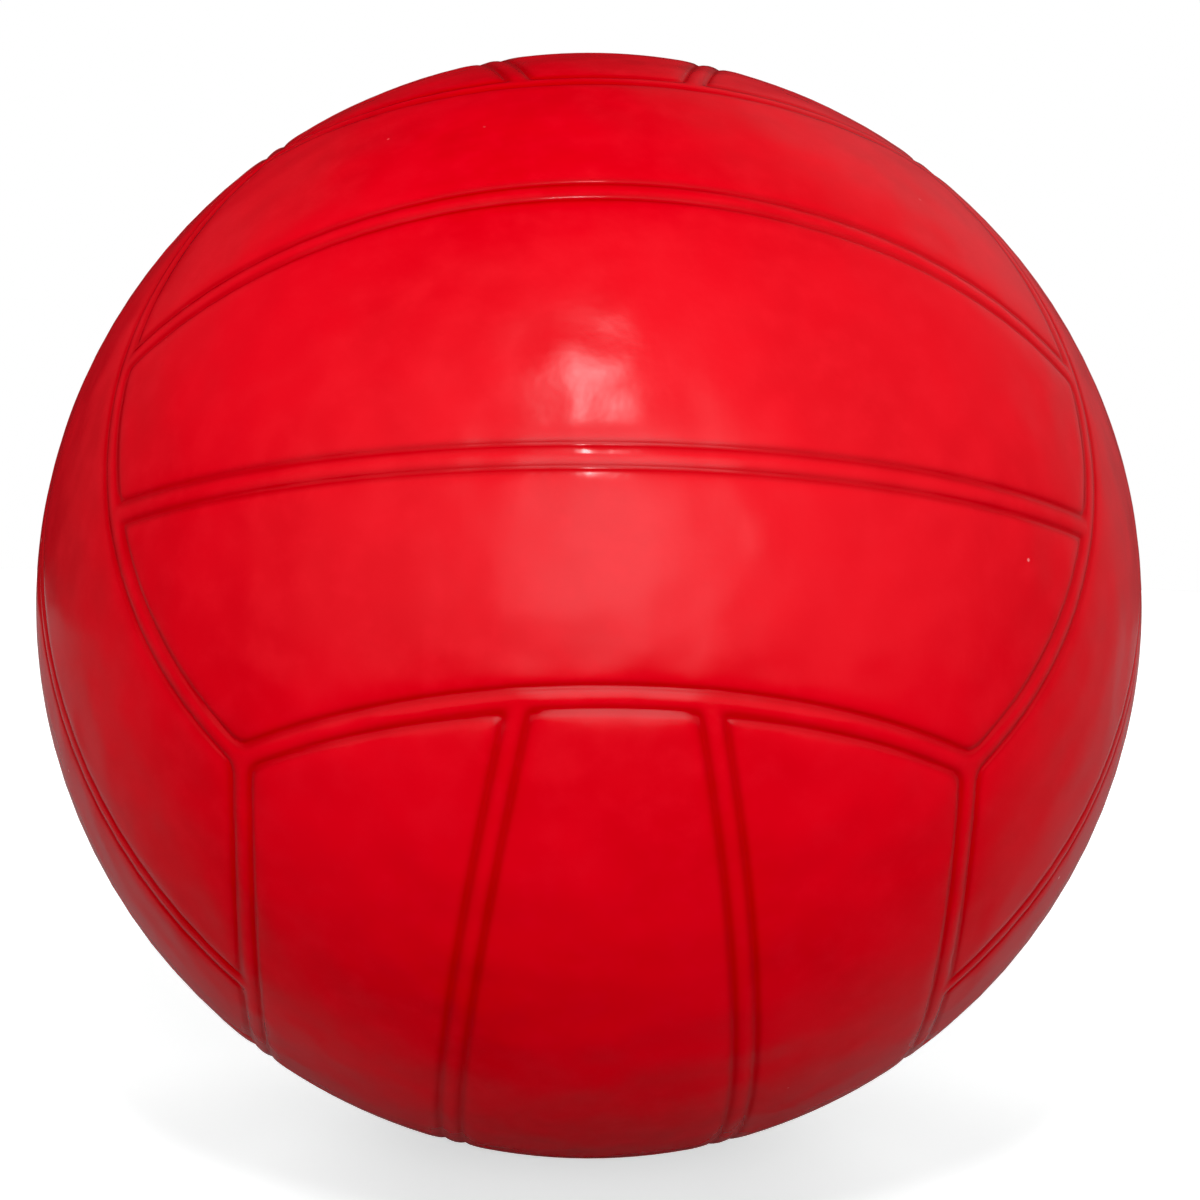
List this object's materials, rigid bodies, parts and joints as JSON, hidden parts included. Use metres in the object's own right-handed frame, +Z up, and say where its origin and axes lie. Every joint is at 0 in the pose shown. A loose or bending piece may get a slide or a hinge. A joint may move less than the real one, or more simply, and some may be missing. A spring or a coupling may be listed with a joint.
{
  "type": "playground ball",
  "caption": "Round air-filled rubber playground ball with moulded seams between long panels, a wound inner carcass, an air bladder and a flush needle valve.",
  "frame": {"origin": "the ball's centre", "axes": "+X out along the valve's axis, +Z up, -Y through the middle of a long seam between two panel groups"},
  "size_m": [0.2157, 0.2158, 0.216],
  "materials": {
    "red_rubber": "glossy, smooth, faintly mottled",
    "carcass_rubber": "matt, calendered",
    "nylon_thread": "wound thread set in latex",
    "butyl_rubber": "satin",
    "valve_rubber": "satin",
    "valve_core_rubber": "satin"
  },
  "bodies": {
    "ball": {"cover": "red_rubber", "carcass_ply": "carcass_rubber", "nylon_winding": "nylon_thread", "bladder": "butyl_rubber", "valve_patch": "butyl_rubber", "valve_housing": "valve_rubber"},
    "core": {"valve_core": "valve_core_rubber"}
  },
  "joints": [
    {"name": "core_pull", "type": "slide", "parent": "ball", "child": "core", "axis": [1, 0, 0], "range_m": [0, 0.014]}
  ]
}
